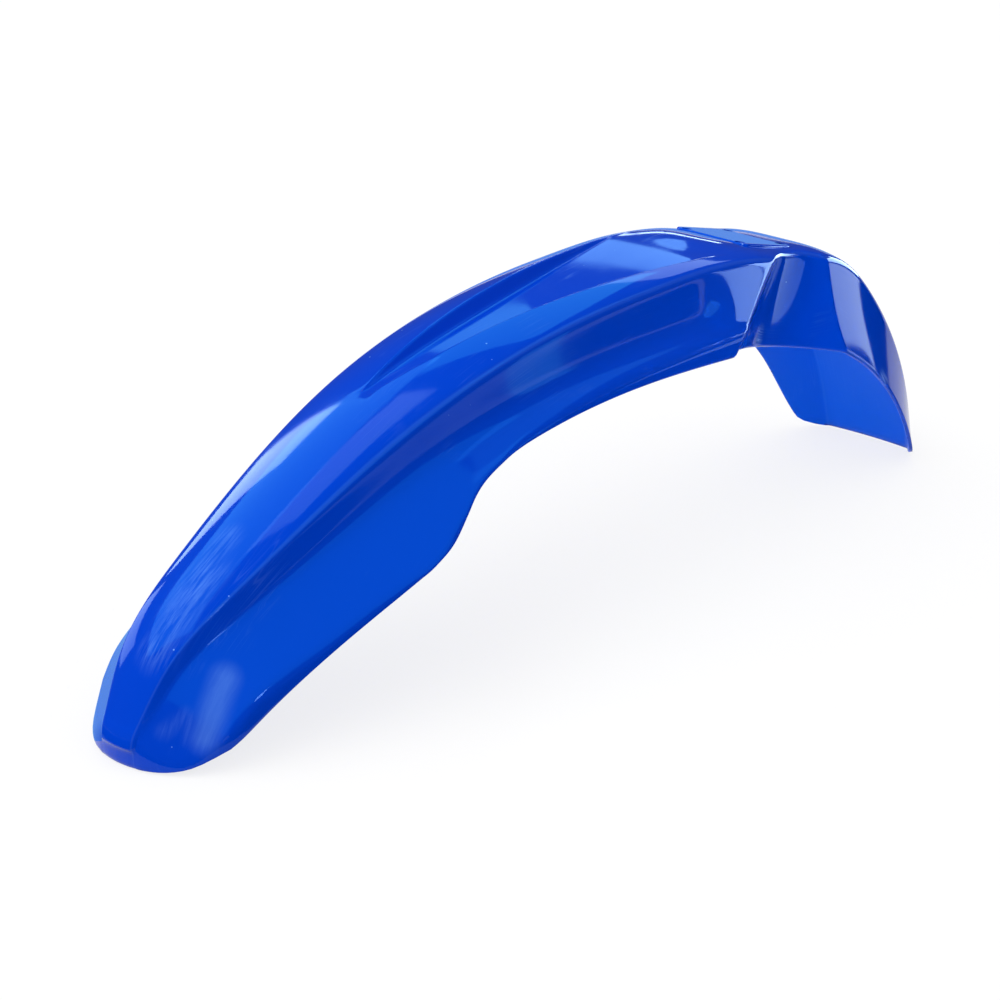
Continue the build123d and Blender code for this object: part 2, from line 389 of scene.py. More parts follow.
def unit(v):
    return v / max(np.linalg.norm(v), 1e-9)


def soft_max(x, y, round_by):
    """Larger of two heights with a rounded change between them."""
    d = np.abs(x - y)
    return np.maximum(x, y) + np.where(d < round_by, (round_by - d) ** 2 / (4 * round_by), 0)


def panel_half(share):
    return PANEL_WIDTH / 2 - (PANEL_WIDTH - PANEL_NOSE_WIDTH) / 2 * share**PANEL_TAPER


def panel_crown(share):
    crown = CLAMP_CROWN + (PANEL_CROWN - CLAMP_CROWN) * ease(share / CROWN_RISE_SHARE)
    return crown * (1 - CROWN_NOSE_LOSS * share**4)


def tail_half(share):
    return PANEL_WIDTH / 2 + (TAIL_BACK_WIDTH - PANEL_WIDTH) / 2 * share


def tail_crown(share):
    return CLAMP_CROWN * (1 - TAIL_CROWN_LOSS * share)


def vee_edges(share):
    """Ridge and floor half widths, floor depth and strength of the V trough."""
    along = (share - vee_tip_share) / (VEE_REAR_SHARE - vee_tip_share)
    if along <= 0 or along >= 1:
        return 0.0 if along <= 0 else VEE_REAR_WIDTH / 2, 0.0, 0.0, 0.0
    ridge = VEE_REAR_WIDTH / 2 * along**VEE_TAPER
    sag = panel_crown(share) * (ridge / panel_half(share)) ** 2
    depth = max(VEE_DEPTH * 4 * along * (1 - along), sag + VEE_LEAST_DEPTH)
    floor = max(ridge - (depth - sag) * VEE_WALL_LEAN, 0.0)
    return ridge, floor, depth, changed(along, VEE_REAR_CHANGE) * changed(along, VEE_TIP_CHANGE)


def panel_sag(a, half, crown, flat):
    """Fall of the panel from its middle, flatter over the bolt plateau."""
    return crown * (a / half) ** (2 + 2 * flat)


def front_flat(share):
    return changed(share, FRONT_FLAT_CHANGE)


def tail_flat(share):
    return changed(share, TAIL_FLAT_CHANGE)


def top_height(a, share, half, crown):
    """Height of the panel with the V trough over the width."""
    panel = -panel_sag(a, half, crown, front_flat(share))
    ridge, floor, depth, strength = vee_edges(share)
    if strength == 0:
        return panel
    sag = crown * (ridge / half) ** 2
    wall = -sag - (ridge - a) / VEE_WALL_LEAN
    trough = soft_max(-depth, wall, min(FLOOR_ROUND, FLOOR_ROUND_SHARE * depth))
    cut = -soft_max(-panel, -trough, min(RIDGE_ROUND, RIDGE_ROUND_SHARE * depth))
    return panel + (np.minimum(cut, panel) - panel) * strength


def top_places(share, width):
    """Places of the top rows over the width, closer at the trough's edges."""
    ridge, floor, depth, strength = vee_edges(share)
    a = np.linspace(0, width, 400)
    dense = np.ones_like(a)
    for edge in (ridge, floor):
        dense += ROW_CROWDING * strength * np.exp(-((a - edge) / ROW_CROWD_REACH) ** 2)
    total = np.concatenate(([0], np.cumsum((dense[1:] + dense[:-1]) / 2)))
    return np.interp(np.linspace(0, total[-1], TOP_ROWS + 1), total, a)


def in_section(origin, heading, a, b):
    """Point of a section square to a heading, sideways by a and up by b."""
    a = np.asarray(a, float)
    return np.stack((origin[0] - heading[1] * b, a, origin[1] + heading[0] * b), -1)


def in_front(share, a, b):
    return in_section(front_line.at(share), front_line.heading(share), a, b)


def tail_heading(share):
    return turned(CLAMP_TILT + (90 - TAIL_LEAN - CLAMP_TILT) * share)


def in_tail(share, a, b):
    return in_section(tail_line.at(share), tail_heading(share), a, b)


def first_crossing(start, end, inside):
    """Place on a straight line where a measure falls through zero."""
    t = np.linspace(0, 1, 500)
    p = start + (end - start) * t[:, None]
    value = inside(p)
    below = np.nonzero(value < 0)[0]
    if len(below) == 0:
        return end
    i = max(below[0], 1)
    share = value[i - 1] / (value[i - 1] - value[i]) if value[i - 1] > 0 else 0.0
    return p[i - 1] + (p[i] - p[i - 1]) * share


def skirt_slope(share):
    fall = SKIRT_FALL + (SKIRT_NOSE_FALL - SKIRT_FALL) * changed(share, SKIRT_FALL_CHANGE)
    return math.tan(math.radians(fall))


def to_nose(at_waist, at_nose, share):
    """Size that changes from the waist to the nose."""
    return at_waist + (at_nose - at_waist) * changed(share, NOSE_CHANGE)


def flank_foot(share):
    """Foot of the flank in the section, sideways and up."""
    height = FLANK_STEP + (FLANK_HEIGHT - FLANK_STEP) * (1 - share**FLANK_TAPER)
    closing = HOLLOW_CLOSE * changed(share, HOLLOW_CHANGE)
    return (panel_half(share) + to_nose(FLANK_RUN, NOSE_FLANK_RUN, share) + closing,
            -panel_crown(share) - height - skirt_slope(share) * closing)


def skirt_lip(share):
    """Place where the skirt meets the outline."""
    foot_a, foot_b = flank_foot(share)
    outer = SKIRT_WIDTH / 2 + SKIRT_OVERRUN
    foot = in_front(share, foot_a, foot_b)
    end = in_front(share, outer, foot_b - skirt_slope(share) * (outer - foot_a))
    return first_crossing(foot, end, lambda p: np.minimum(
        half_width(p[:, 0]) - p[:, 1], p[:, 2] - rim_height(p[:, 0]) - LEAST_FLANGE))


nose_corner_width = skirt_lip(NOSE_CORNER)[1]


def front_section(share):
    """One row of points across the front part, from the middle to the rim."""
    half = panel_half(share)
    crown = panel_crown(share)
    crease = in_front(share, half, -crown)
    foot_a, foot_b = flank_foot(share)
    foot = in_front(share, foot_a, foot_b)
    if share <= NOSE_CORNER:
        lip = skirt_lip(share)
    else:
        lip_b = foot_b - skirt_slope(share) * (nose_corner_width - foot_a)
        lip = in_front(share, nose_corner_width, lip_b)
    crease_round = to_nose(CREASE_ROUND, NOSE_CREASE_ROUND, share)
    foot_round = to_nose(FOOT_ROUND, NOSE_FOOT_ROUND, share)
    lip_round = LIP_ROUND + (NOSE_LIP_ROUND - LIP_ROUND) * changed(share, LIP_CHANGE)
    flank_length = np.linalg.norm(foot - crease)
    skirt_length = np.linalg.norm(lip - foot)
    width = half - crease_round
    a = top_places(share, width)
    top = in_front(share, a, top_height(a, share, half, crown))
    down = unit(foot - crease)
    out = unit(lip - foot)
    flank_top = crease + down * min(crease_round, FLANK_ROUND_SHARE * flank_length)
    flank_end = foot - down * min(foot_round, FLANK_ROUND_SHARE * flank_length)
    skirt_top = foot + out * min(foot_round, SKIRT_ROUND_SHARE * skirt_length)
    lip_start = lip - out * min(lip_round, SKIRT_ROUND_SHARE * skirt_length)
    if share > NOSE_CORNER:
        lip = first_crossing(lip_start, lip, lambda p: half_width(p[:, 0]) - p[:, 1])
    low = np.array((lip[0], lip[1], min(rim_height(lip[0]), lip[2] - LEAST_BAND)))
    lip_end = lip - np.array((0, 0, min(lip_round, LIP_BAND_SHARE * (lip[2] - low[2]))))
    return np.concatenate((
        top,
        bend(top[-1], crease, flank_top, CREASE_ROWS),
        straight(flank_top, flank_end, FLANK_ROWS),
        bend(flank_end, foot, skirt_top, FOOT_ROWS),
        straight(skirt_top, lip_start, SKIRT_ROWS),
        bend(lip_start, lip, lip_end, LIP_ROWS),
        straight(lip_end, low, FLANGE_ROWS),
    ))


def tail_section(share):
    """One row of points across the tail, from the middle to the rim."""
    half = tail_half(share)
    crown = tail_crown(share)
    lean = math.tan(math.radians(TAIL_SIDE_LEAN * share**TAIL_SIDE_TAPER))
    crease = in_tail(share, half, -crown)
    end = in_tail(share, half + TAIL_SIDE_REACH * lean + TAIL_SIDE_OVERRUN, -crown - TAIL_SIDE_REACH)
    a = np.linspace(0, half - CREASE_ROUND, TOP_ROWS + 1)
    top = in_tail(share, a, -panel_sag(a, half, crown, tail_flat(share)))
    low = first_crossing(crease, end, lambda p: p[:, 2] - rim_height(p[:, 0]))
    down = unit(end - crease)
    side_top = crease + down * CREASE_ROUND
    return np.concatenate((
        top,
        bend(top[-1], crease, side_top, CREASE_ROWS),
        straight(side_top, low, LAST_ROW - WALL_ROW),
    ))


def sampled(section, shares):
    return np.array([section(share) for share in shares])


def read_row(table, shares, row, at):
    """Point of one long row at a share."""
    return np.stack([np.interp(at, shares, table[:, row, k]) for k in range(3)], -1)


def station_at(table, shares, at):
    """One station across the shell, each long row read at its own share."""
    return np.array([read_row(table, shares, row, at[row]) for row in range(ROW_COUNT)])


def front_table():
    """Long rows of the front part, carried on straight past the end of the top line."""
    shares = np.linspace(0, 1, FRONT_SAMPLES + 1)
    table = sampled(front_section, shares)
    run = turned(NOSE_HEADING)
    further = np.arange(1, SAMPLES_PAST_NOSE + 1) * shares[1]
    onward = (further * front_line.length)[:, None, None] * np.array((run[0], 0.0, run[1]))
    return np.concatenate((table, table[-1] + onward)), np.concatenate((shares, 1 + further))


def crossing_share(table, shares, row):
    """Share at which a long row leaves the pocket."""
    value = outside_pocket(table[:, row])
    inside = np.nonzero(value < 0)[0]
    if len(inside) == 0:
        return shares[0]
    i = inside[-1]
    if i == len(shares) - 1:
        return shares[-1]
    part = value[i] / (value[i] - value[i + 1])
    return shares[i] + (shares[i + 1] - shares[i]) * part


def pocket_shares(table, shares):
    """Shares at which the long rows leave the pocket, with the top rows level with the crease."""
    found = np.zeros(ROW_COUNT)
    for row in range(TOP_ROWS + 1, ROW_COUNT):
        found[row] = crossing_share(table, shares, row)
    found[:TOP_ROWS + 1] = found[TOP_ROWS + 2]
    return found


def nose_shares(table, shares):
    """Shares at which the long rows meet the outline at the nose."""
    found = np.zeros(ROW_COUNT)
    ahead = shares >= NOSE_CORNER
    for row in range(LIP_ROW + 1):
        p = table[ahead, row]
        room = half_width(p[:, 0]) - p[:, 1] - 1e-6
        out = np.nonzero(room < 0)[0]
        found[row] = shares[-1]
        if len(out) and out[0] > 0:
            i = out[0]
            part = room[i - 1] / (room[i - 1] - room[i])
            found[row] = shares[ahead][i - 1] + (shares[1] - shares[0]) * part
    found[LIP_ROW + 1:] = found[LIP_ROW]
    return found


def close_at_ends(count, near):
    """Even steps from 0 to 1 with one more step close to each end."""
    even = np.linspace(0, 1, count + 1)
    return np.concatenate(([0, near], even[1:-1], [1 - near, 1]))


def nose_band(table, shares, start_shares, end_shares, panel_part):
    """Stations of the band under the nose, from its lower edge up."""
    band = np.zeros((BAND_ROWS, ROW_COUNT, 3))
    for row in range(LIP_ROW + 1):
        start = read_row(table, shares, row, start_shares[row])
        edge = read_row(table, shares, row, end_shares[row])
        low = np.array((edge[0], edge[1], rim_height(edge[0])))
        drop = edge - np.array((0, 0, min(NOSE_LIP_ROUND, LIP_BAND_SHARE * (edge[2] - low[2]))))
        soft = np.concatenate((bend(start, edge, drop, LIP_ROWS), straight(drop, low, FLANGE_ROWS)))
        end = np.array((edge[0] + PANEL_END_STEP, edge[1], low[2] + PANEL_END_HEIGHT))
        corner = edge + np.array((PANEL_END_LEAN * PANEL_END_STEP, 0, 0))
        steep = bend(start, corner, end + np.array((0, 0, PANEL_END_RISE)), STEEP_ROWS)
        step = np.array((end, (edge[0], edge[1], end[2] - PANEL_END_FALL)))
        under = straight(step[-1], low, BAND_ROWS - STEEP_ROWS - len(step))
        crisp = np.concatenate((steep, step, under))
        band[:, row] = soft + (crisp - soft) * panel_part[row]
    for m in range(BAND_ROWS):
        band[m, LIP_ROW:] = read_row(table, shares, LIP_ROW + m + 1, start_shares[LIP_ROW])
    return list(band[::-1])


def pocket_top(along):
    """Top rows and edge of a station at the pocket, a length behind the bolts or, below zero, ahead."""
    if along < 0:
        point = in_front
        share = -along / front_line.length
        half = panel_half(share)
        crown = panel_crown(share)
        flat = front_flat(share)
    else:
        point = in_tail
        share = along / tail_line.length
        half = tail_half(share)
        crown = tail_crown(share)
        flat = tail_flat(share)
    a = np.linspace(POCKET_EDGE_FROM, half + POCKET_EDGE_PAST, 400)
    value = outside_pocket(point(share, a, -panel_sag(a, half, crown, flat)))
    width = float(np.interp(0, -value, a))
    top = np.linspace(0, width - CREASE_ROUND, TOP_ROWS + 1)
    return (point(share, top, -panel_sag(top, half, crown, flat)),
            point(share, width, -panel_sag(width, half, crown, flat)))


def pocket_foot(angle):
    """Angle and drop at which the pocket's wall meets the lower edge."""
    drop = np.linspace(*POCKET_FOOT_DROP, 800)
    p = on_pocket(np.full_like(drop, angle), drop)
    value = p[:, 2] - rim_height(p[:, 0])
    return np.array((angle, float(np.interp(0, -value, drop))))


def pocket_stations(first, last, reach):
    """Stations of the pocket, its wall laid between its front, rear, upper and lower edges."""
    left = np.stack(pocket_angle(first[WALL_ROW:]), -1)
    right = np.stack(pocket_angle(last[WALL_ROW:]), -1)
    count = LAST_ROW - WALL_ROW
    made = []
    for place in close_at_ends(POCKET_STEPS, POCKET_END_STEP)[1:-1]:
        top, edge = pocket_top(reach[0] + (reach[1] - reach[0]) * place)
        upper = np.array(pocket_angle(edge)) + np.array((0, CREASE_ROUND))
        lower = pocket_foot(left[-1, 0] + (right[-1, 0] - left[-1, 0]) * place)
        wall = []
        for j in range(count + 1):
            v = j / count
            side = (1 - place) * left[j] + place * right[j]
            level = (1 - v) * upper + v * lower
            corners = ((1 - place) * ((1 - v) * left[0] + v * left[-1])
                       + place * ((1 - v) * right[0] + v * right[-1]))
            wall.append(side + level - corners)
        wall = np.array(wall)
        wall = on_pocket(wall[:, 0], wall[:, 1])
        crease = bend(top[-1], edge, wall[0], CREASE_ROWS)[:-1]
        made.append(np.concatenate((top, crease, wall)))
    return made


def shell_rows():
    """Points of the left half: stations from the nose to the tail, rows from the middle to the rim."""
    front, shares = front_table()
    tail_shares = np.linspace(0, 1, TAIL_SAMPLES + 1)
    tail = sampled(tail_section, tail_shares)
    pocket_front = pocket_shares(front, shares)
    pocket_rear = pocket_shares(tail, tail_shares)
    nose_end = nose_shares(front, shares)
    panel_part = np.interp(np.arange(ROW_COUNT), (TOP_ROWS + 1, FLANK_END_ROW), (1, 0))
    nose_round = NOSE_LIP_ROUND + (LIP_ROUND - NOSE_LIP_ROUND) * panel_part
    nose_start = nose_end - nose_round / front_line.length

    # Nose to pocket
    stations = nose_band(front, shares, nose_start, nose_end, panel_part)
    first_places = 1 - np.array(NOSE_STATIONS) / (front_line.length * (1 - NOSE_SPLIT))
    at_shares = [NOSE_SPLIT + q * (nose_start - NOSE_SPLIT) for q in (*first_places, *NEAR_PLACES)]
    at_shares += [np.full(ROW_COUNT, share) for share in BACK_SHARES]
    at_shares += [WAIST_SPLIT + q * (pocket_front - WAIST_SPLIT) for q in REAR_PLACES]
    stations += [station_at(front, shares, at) for at in at_shares]

    # Pocket with a rounded front edge
    before, edge = stations[-2:]
    reach = (-pocket_front[0] * front_line.length, pocket_rear[0] * tail_line.length)
    pocket = pocket_stations(edge, station_at(tail, tail_shares, pocket_rear), reach)
    after = pocket[0]
    stations[-1:] = [(1 - t) ** 2 * before + 2 * t * (1 - t) * edge + t * t * after for t in EDGE_PLACES]
    stations += pocket

    # Tail, ending level on the floor
    for q in TAIL_PLACES:
        at = pocket_rear + (1 - pocket_rear) * q
        p = station_at(tail, tail_shares, at)
        heading = tail_heading(float(at[0]))
        under = np.minimum(p[:, 2] + FLOOR_DROP, 0) / heading[1]
        p[:, 0] -= under * heading[0]
        p[:, 2] -= under * heading[1]
        stations.append(p)
    return np.array(stations)


def select_nothing():
    if bpy.context.object and bpy.context.object.mode != "OBJECT":
        bpy.ops.object.mode_set(mode="OBJECT")
    bpy.ops.object.select_all(action="DESELECT")


def apply_modifier(piece, name, kind, **settings):
    modifier = piece.modifiers.new(name, kind)
    for key, value in settings.items():
        setattr(modifier, key, value)
    bpy.context.view_layer.objects.active = piece
    bpy.ops.object.modifier_apply(modifier=name)


# Finish
BLUE = (0.0, 0.052, 0.61, 1)
# Painted light: the inside blue is lighter than the outside blue to brighten the dimly lit inside of the
# shell; the satin roughness is real
SATIN_BLUE_PAINTED_LIGHTER = (0.0, 0.13, 0.85, 1)
# Pale colour of scratches, dust specks, worn edges and rubbed scuffs, also used for one painted
# reflection streak
PALE_MARKS_AND_SHEEN = (0.2, 0.46, 1.0, 1)
SHEEN = 0.36
SHEEN_TINT = (0.36, 0.58, 1.0, 1)
SCRATCH_PALENESS = 0.06
SPECK_PALENESS = 0.75
EDGE_PALENESS = 0.05
SCRATCH_ROUGHNESS = 0.12
SCUFF_ROUGHNESS = 0.5
# Hairline scratches as a turn and a stretch of the noise
HAIRLINES = ((0.05, (5, 240, 9)), (-0.14, (7, 200, 5)), (0.32, (9, 170, 7)))
HAIRLINE_SHIFT = (0.37, 0.61, 0.23)
SCUFF_TURN = 0.1
SCUFF_STRETCH = (34, 360, 1)
# Rubbed streaks, and one painted soft reflection on the near skirt by the nose (the fifth), as start,
# end and reach in millimetres, strength and raggedness
SCUFFS_AND_SHEEN_STREAKS = (
    ((512, 8, -124), (470, 6, -91), 18, 0.36, 1.0),
    ((496, 2, -106), (450, 0, -77), 14, 0.26, 1.0),
    ((514, 34, -155), (520, 39, -166), 7, 0.16, 0.8),
    ((514, 33, -155), (525, 26, -163), 8, 0.13, 0.8),
    # Painted reflection: this soft, little-ragged streak on the near skirt by the nose stands in for a
    # hazy reflection, not a scuff
    ((492, 41, -137), (511, 44, -166), 13, 0.3, 0.3),
    ((19.5, 39.4, -53), (20, 39.6, -58), 8, 0.7, 1.0),
    ((-100, 55, -111), (-102, 55, -113), 8, 0.7, 1.0),
)


class Nodes:
    """Node tree with short ways to add and join nodes."""

    def __init__(self, tree):
        self.tree = tree

    def add(self, kind, inputs=None, **settings):
        node = self.tree.nodes.new(kind)
        for key, value in settings.items():
            setattr(node, key, value)
        for key, value in (inputs or {}).items():
            if hasattr(value, "node"):
                self.tree.links.new(value, node.inputs[key])
            else:
                node.inputs[key].default_value = value
        return node

    def maths(self, operation, a, b=0.0, clamp=True):
        return self.add("ShaderNodeMath", {0: a, 1: b}, operation=operation, use_clamp=clamp).outputs[0]

    def vector(self, operation, a, b):
        return self.add("ShaderNodeVectorMath", {0: a, 1: b}, operation=operation)

    def spread(self, value, low, high):
        """0 at the low value, 1 at the high one."""
        node = self.add("ShaderNodeMapRange", {"Value": value, "From Min": low, "From Max": high})
        return node.outputs["Result"]

    def on_sheet(self):
        """Places along and across the sheet."""
        return [self.add("ShaderNodeAttribute", attribute_name=name).outputs["Fac"]
                for name in ("along", "across")]


def new_group(name, inputs, outputs):
    group = bpy.data.node_groups.new(name, "ShaderNodeTree")
    for key, kind, value in inputs:
        socket = group.interface.new_socket(name=key, in_out="INPUT", socket_type=kind)
        socket.default_value = value
    for key in outputs:
        group.interface.new_socket(name=key, in_out="OUTPUT", socket_type="NodeSocketFloat")
    nodes = Nodes(group)
    return group, nodes, nodes.add("NodeGroupInput"), nodes.add("NodeGroupOutput")


def plastic_marks():
    """Haze, hairline scratches and dust on moulded plastic."""
    group, nodes, given, made = new_group(
        "plastic_marks", [("Dust", "NodeSocketFloat", 0.85)], ("Haze", "Scratches", "Specks"))
    place = nodes.add("ShaderNodeTexCoord").outputs["Object"]
    cloud = nodes.add("ShaderNodeTexNoise", {
        "Vector": place, "Scale": 16.0, "Detail": 5.0, "Roughness": 0.62})
    haze = nodes.spread(cloud.outputs["Fac"], 0.46, 0.74)
    side = nodes.add("ShaderNodeSeparateXYZ", {"Vector": place}).outputs["Y"]
    side = nodes.maths("GREATER_THAN", side, 0.0)
    along, across = nodes.on_sheet()
    laid_out = nodes.add("ShaderNodeCombineXYZ", {"X": along, "Y": across, "Z": side}).outputs[0]
    lines = None
    for turn, stretch in HAIRLINES:
        laid = nodes.add("ShaderNodeMapping", {
            "Vector": laid_out, "Location": HAIRLINE_SHIFT, "Rotation": (0, 0, turn), "Scale": stretch})
        wave = nodes.add("ShaderNodeTexNoise", {"Vector": laid.outputs[0], "Scale": 1.0, "Detail": 0.0})
        off = nodes.maths("SUBTRACT", wave.outputs["Fac"], 0.5, clamp=False)
        off = nodes.maths("ABSOLUTE", off)
        hair = nodes.spread(off, 0.02, 0.004)
        lines = hair if lines is None else nodes.maths("MAXIMUM", lines, hair)
    worn = nodes.add("ShaderNodeTexNoise", {"Vector": place, "Scale": 23.0, "Detail": 3.0})
    lines = nodes.maths("MULTIPLY", lines, nodes.spread(worn.outputs["Fac"], 0.54, 0.72))
    grains = nodes.add("ShaderNodeTexVoronoi", {"Vector": place, "Scale": 120.0})
    near = nodes.spread(grains.outputs["Distance"], 0.075, 0.045)
    pick = nodes.add("ShaderNodeSeparateColor", {"Color": grains.outputs["Color"]}).outputs["Red"]
    specks = nodes.maths("MULTIPLY", near, nodes.maths("GREATER_THAN", pick, given.outputs["Dust"]))
    for key, value in (("Haze", haze), ("Scratches", lines), ("Specks", specks)):
        nodes.tree.links.new(value, made.inputs[key])
    return group


def scuff_and_sheen_mark():
    """Pale streak with ragged edges between two places, drawn for rubbed scuffs and for a painted
    reflection.
    """
    group, nodes, given, made = new_group(
        "scuff_and_sheen_mark",
        [("Start", "NodeSocketVector", (0, 0, 0)), ("End", "NodeSocketVector", (0, 0, 0)),
         ("Reach", "NodeSocketFloat", 0.01), ("Ragged", "NodeSocketFloat", 1.0)],
        ("Scuff",))
    place = nodes.add("ShaderNodeTexCoord").outputs["Object"]
    run = nodes.vector("SUBTRACT", given.outputs["End"], given.outputs["Start"]).outputs[0]
    off = nodes.vector("SUBTRACT", place, given.outputs["Start"]).outputs[0]
    part = nodes.maths("DIVIDE", nodes.vector("DOT_PRODUCT", off, run).outputs["Value"],
                       nodes.vector("DOT_PRODUCT", run, run).outputs["Value"])
    foot = nodes.add("ShaderNodeVectorMath", {0: run, "Scale": part}, operation="SCALE").outputs[0]
    away = nodes.vector("DISTANCE", off, foot).outputs["Value"]
    share = nodes.maths("DIVIDE", away, given.outputs["Reach"], clamp=False)
    inside = nodes.add("ShaderNodeMapRange", {"Value": share, "From Min": 1.0, "From Max": -0.1},
                       interpolation_type="SMOOTHSTEP").outputs["Result"]
    along, across = nodes.on_sheet()
    laid_out = nodes.add("ShaderNodeCombineXYZ", {"X": along, "Y": across}).outputs[0]
    drawn = nodes.add("ShaderNodeMapping", {
        "Vector": laid_out, "Rotation": (0, 0, SCUFF_TURN), "Scale": SCUFF_STRETCH})
    rag = nodes.add("ShaderNodeTexNoise", {
        "Vector": drawn.outputs[0], "Scale": 1.0, "Detail": 4.0, "Roughness": 0.65})
    holes = nodes.maths("MULTIPLY", nodes.spread(rag.outputs["Fac"], 0.72, 0.4), given.outputs["Ragged"])
    streak = nodes.maths("MULTIPLY", inside, nodes.maths("SUBTRACT", 1.0, holes))
    nodes.tree.links.new(streak, made.inputs["Scuff"])
    return group


marks_group = plastic_marks()
scuff_and_sheen_group = scuff_and_sheen_mark()


def new_material(name):
    """Material with its nodes and its main shader."""
    material = bpy.data.materials.new(name)
    material.use_nodes = True
    return material, Nodes(material.node_tree), material.node_tree.nodes["Principled BSDF"]


def moulded_plastic(name, blue, roughness, haze, dust, scuffs_and_sheen):
    """Blue plastic with a gloss that changes over the surface."""
    material, nodes, shader = new_material(name)
    marks = nodes.add("ShaderNodeGroup", node_tree=marks_group)
    marks.inputs["Dust"].default_value = dust
    edge = nodes.add("ShaderNodeAttribute", attribute_name="worn_edge").outputs["Fac"]
    pale = nodes.maths("MULTIPLY", marks.outputs["Scratches"], SCRATCH_PALENESS)
    pale = nodes.maths("MAXIMUM", pale, nodes.maths("MULTIPLY", marks.outputs["Specks"], SPECK_PALENESS))
    pale = nodes.maths("MAXIMUM", pale, nodes.maths("MULTIPLY", edge, EDGE_PALENESS))
    rough = nodes.maths("MULTIPLY", marks.outputs["Haze"], haze)
    scratched = nodes.maths("MULTIPLY", marks.outputs["Scratches"], SCRATCH_ROUGHNESS)
    rough = nodes.maths("ADD", rough, scratched)
    # Each streak lightens the colour: rubbed scuffs, and one painted reflection
    for start, end, reach, strength, ragged in scuffs_and_sheen:
        streak = nodes.add("ShaderNodeGroup", node_tree=scuff_and_sheen_group)
        streak.inputs["Start"].default_value = [v * MM for v in start]
        streak.inputs["End"].default_value = [v * MM for v in end]
        streak.inputs["Reach"].default_value = reach * MM
        streak.inputs["Ragged"].default_value = ragged
        rubbed_and_sheen = nodes.maths("MULTIPLY", streak.outputs["Scuff"], strength)
        pale = nodes.maths("MAXIMUM", pale, rubbed_and_sheen)
        rough = nodes.maths("ADD", rough, nodes.maths("MULTIPLY", rubbed_and_sheen, SCUFF_ROUGHNESS))
    colour = nodes.add("ShaderNodeMix", {0: pale, 6: blue, 7: PALE_MARKS_AND_SHEEN}, data_type="RGBA")
    links = material.node_tree.links
    links.new(colour.outputs[2], shader.inputs["Base Color"])
    links.new(nodes.maths("ADD", rough, roughness), shader.inputs["Roughness"])
    shader.inputs["Specular IOR Level"].default_value = SHEEN
    shader.inputs["Specular Tint"].default_value = SHEEN_TINT
    return material


gloss_blue = moulded_plastic("gloss_blue", BLUE, roughness=0.045, haze=0.07, dust=0.86, scuffs_and_sheen=SCUFFS_AND_SHEEN_STREAKS)
# Underside in satin plastic, its colour painted lighter to stand in for light inside the tail
satin_inside_painted_lighter = moulded_plastic("satin_inside_painted_lighter", SATIN_BLUE_PAINTED_LIGHTER, roughness=0.4, haze=0.1, dust=0.92, scuffs_and_sheen=())

# Limits in metres for joining points and for leaving out faces without an area
MERGE_REACH = 0.00002
MIRROR_REACH = 0.00005
SLIVER_AREA = 1e-10
SMOOTH_ANGLE = math.radians(50)


def make_shell():
    """Moulded shell: one sheet laid on the section lines, mirrored, thickened and smoothed."""
    points = shell_rows() * MM
    count, rows = points.shape[:2]
    step = np.linalg.norm(np.diff(points, axis=0), axis=2)
    length = np.concatenate((np.zeros((1, rows)), np.cumsum(step, axis=0)))
    step = np.linalg.norm(np.diff(points, axis=1), axis=2)
    width = np.concatenate((np.zeros((count, 1)), np.cumsum(step, axis=1)), axis=1)
    select_nothing()
    bpy.ops.mesh.primitive_grid_add(x_subdivisions=count - 1, y_subdivisions=rows - 1, size=1)
    piece = bpy.context.object
    piece.name = "mudguard_skin"
    bpy.ops.object.mode_set(mode="EDIT")
    sheet = bmesh.from_edit_mesh(piece.data)
    worn = sheet.verts.layers.float.new("worn_edge")
    along = sheet.verts.layers.float.new("along")
    across = sheet.verts.layers.float.new("across")
    for vertex in sheet.verts:
        i = round((vertex.co.x + 0.5) * (count - 1))
        j = round((vertex.co.y + 0.5) * (rows - 1))
        vertex.co = Vector(points[i, j])
        vertex[worn] = 1.0 if j == LAST_ROW or j in WORN_ROWS else 0.0
        vertex[along] = length[i, TOP_ROWS]
        vertex[across] = width[i, j]
    slivers = [f for f in sheet.faces if f.calc_area() < SLIVER_AREA]
    bmesh.ops.delete(sheet, geom=slivers, context="FACES")
    bmesh.update_edit_mesh(piece.data)
    bpy.ops.mesh.select_all(action="SELECT")
    bpy.ops.mesh.remove_doubles(threshold=MERGE_REACH)
    bpy.ops.mesh.delete_loose()
    bpy.ops.mesh.select_all(action="SELECT")
    bpy.ops.mesh.normals_make_consistent(inside=False)
    bpy.ops.object.mode_set(mode="OBJECT")
    piece.data.materials.append(gloss_blue)
    piece.data.materials.append(satin_inside_painted_lighter)
    apply_modifier(piece, "other half", "MIRROR", use_axis=(False, True, False), use_clip=True,
                   merge_threshold=MIRROR_REACH)
    if sum(f.normal.z * f.area for f in piece.data.polygons) < 0:
        piece.data.flip_normals()
    apply_modifier(piece, "wall", "SOLIDIFY", thickness=WALL * MM, offset=-1, use_even_offset=False,
                   use_quality_normals=True, material_offset=1, material_offset_rim=0)
    apply_modifier(piece, "smoothing", "SUBSURF", levels=1, render_levels=1)
    return piece


def lay_on_clamp(piece):
    """Turn a piece made level about the origin onto the bolt plateau."""
    bpy.ops.object.transform_apply(location=True, rotation=True, scale=True)
    piece.rotation_euler = (0, -math.radians(CLAMP_TILT), 0)
    bpy.ops.object.transform_apply(location=True, rotation=True, scale=True)


